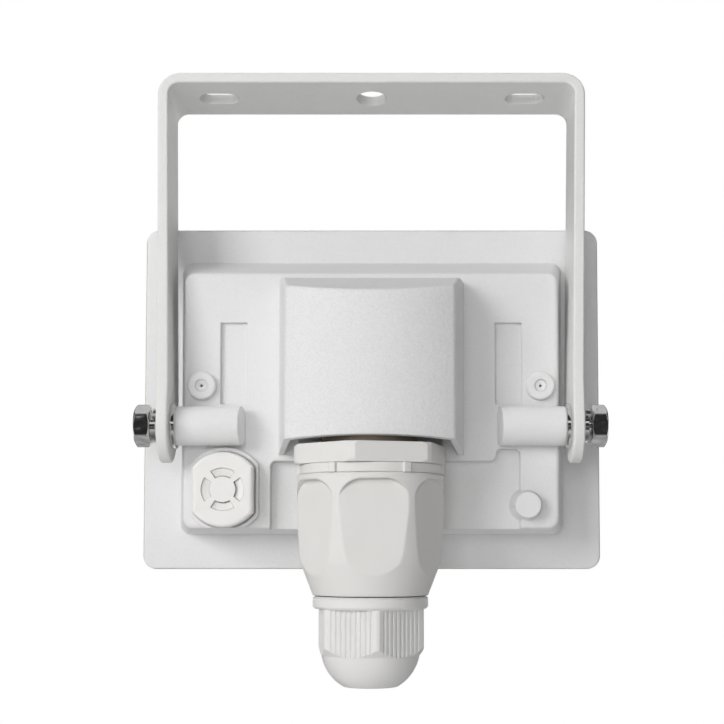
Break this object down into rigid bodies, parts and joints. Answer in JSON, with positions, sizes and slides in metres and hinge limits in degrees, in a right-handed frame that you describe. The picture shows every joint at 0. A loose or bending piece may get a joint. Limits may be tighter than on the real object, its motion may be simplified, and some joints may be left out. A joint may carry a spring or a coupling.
{
  "type": "led floodlight",
  "caption": "Small LED floodlight with a white die-cast housing, a U-bracket that tilts, a vent cap and a round cable connector with a domed nut.",
  "frame": {"origin": "centre of the bracket's middle hole, on the outer face of the bracket's web", "axes": "+Z out of the bracket's outer face, +X along the bracket's web and the tilt axis, +Y the way the light shines when the head is level"},
  "size_m": [0.104, 0.0518, 0.1363],
  "materials": {
    "bracket": "white powder coat, fine orange peel",
    "housing": "white powder coat on a die casting, fine leathery texture",
    "bright_steel": "bright plated steel",
    "vent_plastic": "white moulded plastic",
    "membrane": "white breathing membrane",
    "rubber": "black rubber",
    "gland_plastic": "warm white moulded nylon",
    "nut_plastic": "warm white moulded nylon",
    "inner_plastic": "plain moulded nylon",
    "brass": "turned brass",
    "lead": "insulated copper lead",
    "circuit_board": "green circuit board",
    "screw_steel": "zinc plated steel",
    "ferrite": "taped transformer",
    "capacitor_sleeve": "black sleeve",
    "terminal_plastic": "green terminal block",
    "thermal_pad": "grey thermal pad",
    "led_board": "white solder mask on aluminium",
    "led": "yellow phosphor",
    "reflector": "white moulded reflector",
    "glass": "clear toughened glass",
    "silicone": "grey silicone"
  },
  "bodies": {
    "bracket": {"bracket": "bracket"},
    "head": {"rear_housing": "housing", "pivot_bolt_left": "bright_steel", "pivot_bolt_right": "bright_steel", "spring_washer_left": "bright_steel", "spring_washer_right": "bright_steel", "flat_washer_left": "bright_steel", "flat_washer_right": "bright_steel", "vent_cap": "vent_plastic", "vent_nut": "vent_plastic", "vent_membrane": "membrane", "vent_oring": "rubber", "entry_gasket": "rubber", "gland_entry": "gland_plastic", "supply_leads": "lead", "driver_board": "circuit_board", "driver_screws": "screw_steel", "board_screws": "screw_steel", "transformer": "ferrite", "capacitor": "capacitor_sleeve", "terminal_block": "terminal_plastic", "thermal_pad": "thermal_pad", "led_board": "led_board", "led_chips": "led", "reflector": "reflector", "front_glass": "glass", "glass_seal": "silicone"},
    "connector": {"connector_shell": "gland_plastic", "lock_ring": "gland_plastic", "shell_gasket": "rubber", "terminal_insert": "inner_plastic", "contact_sockets": "brass", "clamping_cage": "inner_plastic", "cable_grommet": "rubber"},
    "cap_nut": {"dome_nut": "nut_plastic"}
  },
  "joints": [
    {"name": "head_tilt", "type": "hinge", "parent": "bracket", "child": "head", "pos_m": [0, 0, -0.08], "axis": [1, 0, 0], "range_deg": [-185, 1]},
    {"name": "connector_turn", "type": "hinge", "parent": "head", "child": "connector", "pos_m": [0, -0.00145, -0.10056], "axis": [0, 0.1736, -0.9848], "range_deg": [0, 360]},
    {"name": "cap_nut_turn", "type": "hinge", "parent": "connector", "child": "cap_nut", "pos_m": [0, 0.00289, -0.12518], "axis": [0, 0.1736, -0.9848], "range_deg": [0, 360]}
  ]
}
